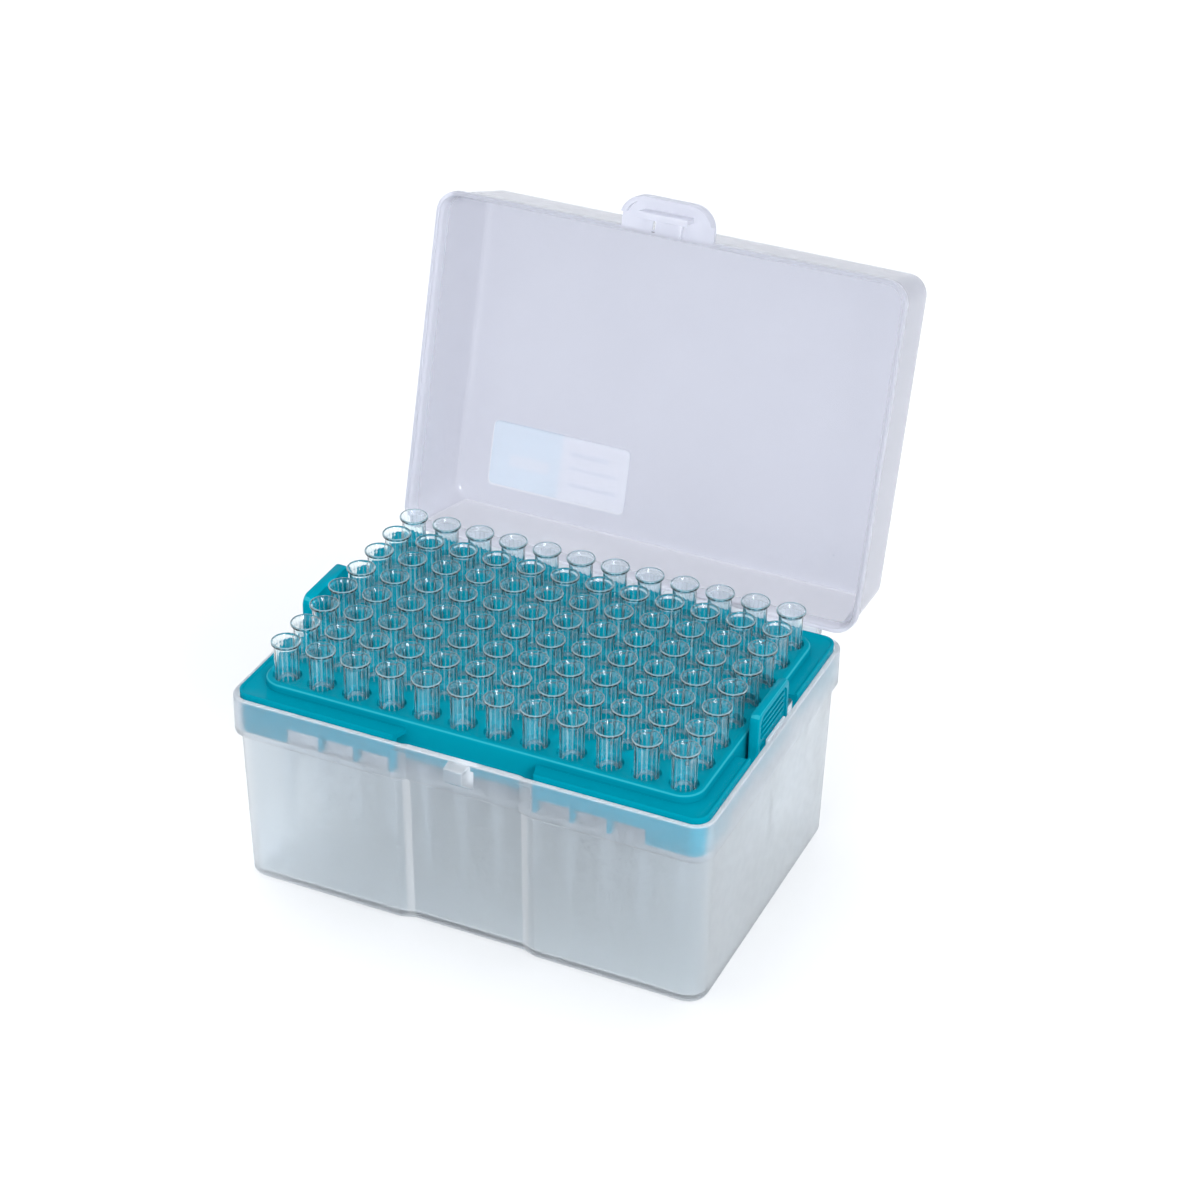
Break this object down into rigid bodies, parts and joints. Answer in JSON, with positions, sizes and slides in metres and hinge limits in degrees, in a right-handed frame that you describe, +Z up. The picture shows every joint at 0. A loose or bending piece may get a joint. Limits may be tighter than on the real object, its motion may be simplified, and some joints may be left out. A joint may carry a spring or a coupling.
{
  "type": "pipette tip box",
  "caption": "Clear plastic box with a hinged lid and latch tab, holding a lift-out tray of pipette tips in a square grid.",
  "frame": {"origin": "centre of the base's underside, which stands on the bench", "axes": "+X to the right along the rows of twelve tips, +Y towards the hinge, +Z up"},
  "size_m": [0.1208, 0.1369, 0.1422],
  "materials": {
    "clear_body": "translucent, satin gloss",
    "clear_lid": "translucent, glossy",
    "clear_tip": "translucent, glossy",
    "teal_tray": "opaque, satin gloss",
    "label_paper": "matt paper"
  },
  "bodies": {
    "box": {"base": "clear_body", "tray": "teal_tray", "tips_column_01": "clear_tip", "tips_column_02": "clear_tip", "tips_column_03": "clear_tip", "tips_column_04": "clear_tip", "tips_column_05": "clear_tip", "tips_column_06": "clear_tip", "tips_column_07": "clear_tip", "tips_column_08": "clear_tip", "tips_column_09": "clear_tip", "tips_column_10": "clear_tip", "tips_column_11": "clear_tip", "tips_column_12": "clear_tip"},
    "lid": {"lid": "clear_lid", "label": "label_paper"}
  },
  "joints": [
    {"name": "lid_hinge", "type": "hinge", "parent": "box", "child": "lid", "pos_m": [0, 0.0439, 0.05], "axis": [1, 0, 0], "range_deg": [0, 105]}
  ]
}
